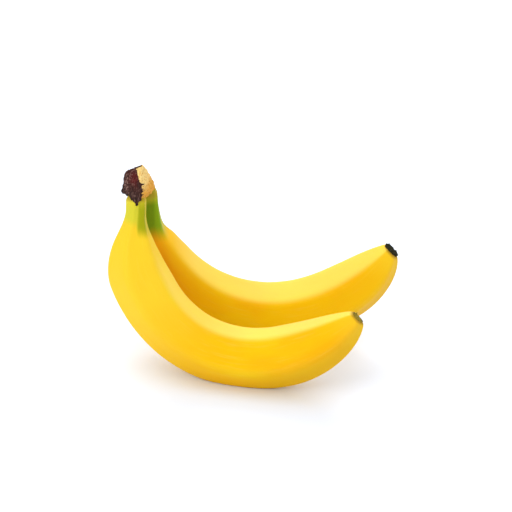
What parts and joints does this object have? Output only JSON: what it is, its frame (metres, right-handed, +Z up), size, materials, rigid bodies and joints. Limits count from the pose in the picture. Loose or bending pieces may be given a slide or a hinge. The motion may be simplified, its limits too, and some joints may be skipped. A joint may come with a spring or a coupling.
{
  "type": "bunch of bananas",
  "caption": "Ripe bananas grown together on one dried crown, curved, resting on their bellies with the tips up.",
  "frame": {"origin": "on the surface the bunch rests on, under the middle of its box", "axes": "+X from the necks to the tips, +Y from the front banana to the back one, +Z up"},
  "size_m": [0.1635, 0.091, 0.116],
  "materials": {
    "peel": "smooth waxy banana peel, yellow with green necks",
    "crown_skin": "dry and rough, dark brown with a pale fibrous cut",
    "dried_tip": "dry, dull and almost black"
  },
  "bodies": {
    "root": {"front_banana": "peel", "back_banana": "peel", "crown": "crown_skin", "front_blossom_tip": "dried_tip", "back_blossom_tip": "dried_tip"}
  },
  "joints": []
}
